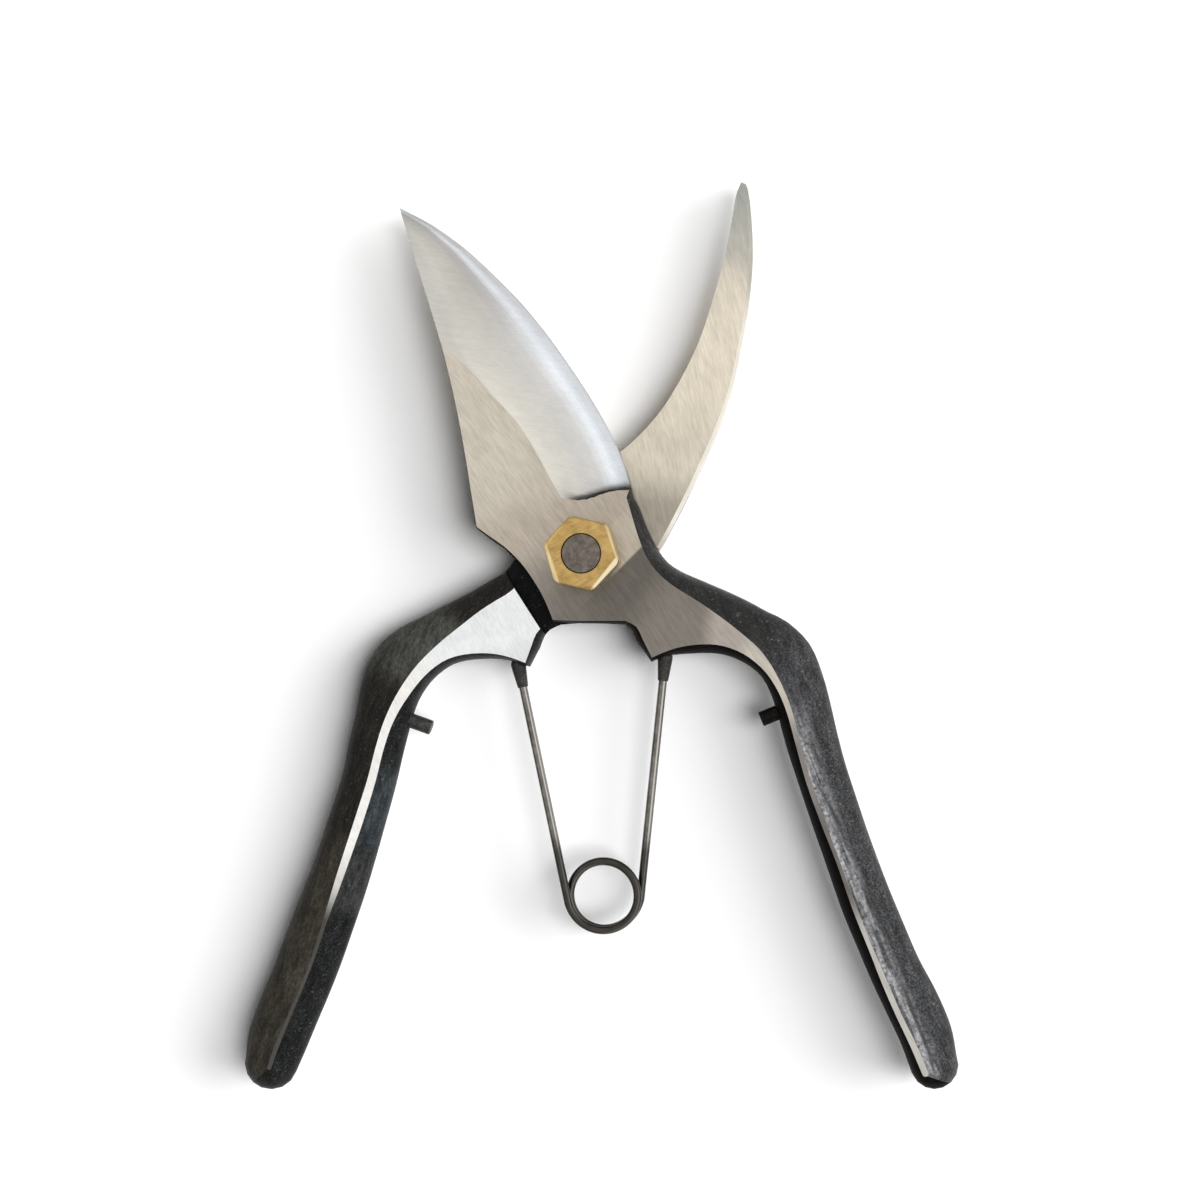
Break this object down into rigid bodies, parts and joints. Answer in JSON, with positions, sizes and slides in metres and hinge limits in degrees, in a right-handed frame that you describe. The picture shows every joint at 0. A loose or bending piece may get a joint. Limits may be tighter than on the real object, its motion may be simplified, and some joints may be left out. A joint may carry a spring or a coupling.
{
  "type": "pruning scissors",
  "caption": "Forged bypass pruning scissors, open: a ground cutting blade and a hooked counter blade on one bolt and nut, with a coiled V spring between the handles.",
  "frame": {"origin": "centre of the bolt head's under face, on the pivot's axis, where the tool touches the surface it lies on", "axes": "+Y from the handles towards the blade tips, +Z along the pivot towards the nut, +X towards the half with the cutting blade's handle"},
  "size_m": [0.1388, 0.1771, 0.0174],
  "materials": {
    "cutting_steel": "ground and brushed flats, dark forged sides",
    "hook_steel": "ground and brushed flats, dark forged sides",
    "bolt_steel": "turned and oxidised",
    "nut_brass": "machined, lightly worn",
    "spring_steel": "polished wire, blued",
    "left_collar_steel": "dark oxide",
    "right_collar_steel": "dark oxide",
    "left_peg_steel": "dark oxide",
    "right_peg_steel": "dark oxide"
  },
  "bodies": {
    "hook_side": {"hook_half": "hook_steel", "pivot_bolt": "bolt_steel", "pivot_nut": "nut_brass", "handle_peg_left": "left_peg_steel"},
    "cutting_side": {"cutting_half": "cutting_steel", "handle_peg_right": "right_peg_steel"},
    "spring_left_end": {"spring_ferrule_left": "left_collar_steel", "spring_wire": "spring_steel"},
    "spring_right_end": {"spring_ferrule_right": "right_collar_steel"}
  },
  "joints": [
    {"name": "blade_pivot", "type": "hinge", "parent": "hook_side", "child": "cutting_side", "pos_m": [0, 0, 0.00725], "axis": [0, 0, -1], "range_deg": [0, 52], "stiffness_Nm_per_rad": 1.2, "deforming": ["spring_wire"]},
    {"name": "left_ferrule_turn", "type": "hinge", "parent": "hook_side", "child": "spring_left_end", "pos_m": [-0.0132, -0.0212, 0.00725], "axis": [0, 0, -1], "range_deg": [0, 40]},
    {"name": "right_ferrule_turn", "type": "hinge", "parent": "cutting_side", "child": "spring_right_end", "pos_m": [0.0155, -0.0198, 0.00725], "axis": [0, 0, 1], "range_deg": [0, 39]}
  ],
  "couplings": [
    {"joint": "left_ferrule_turn", "follows": "blade_pivot", "ratio": 0.7535},
    {"joint": "right_ferrule_turn", "follows": "blade_pivot", "ratio": 0.739}
  ]
}
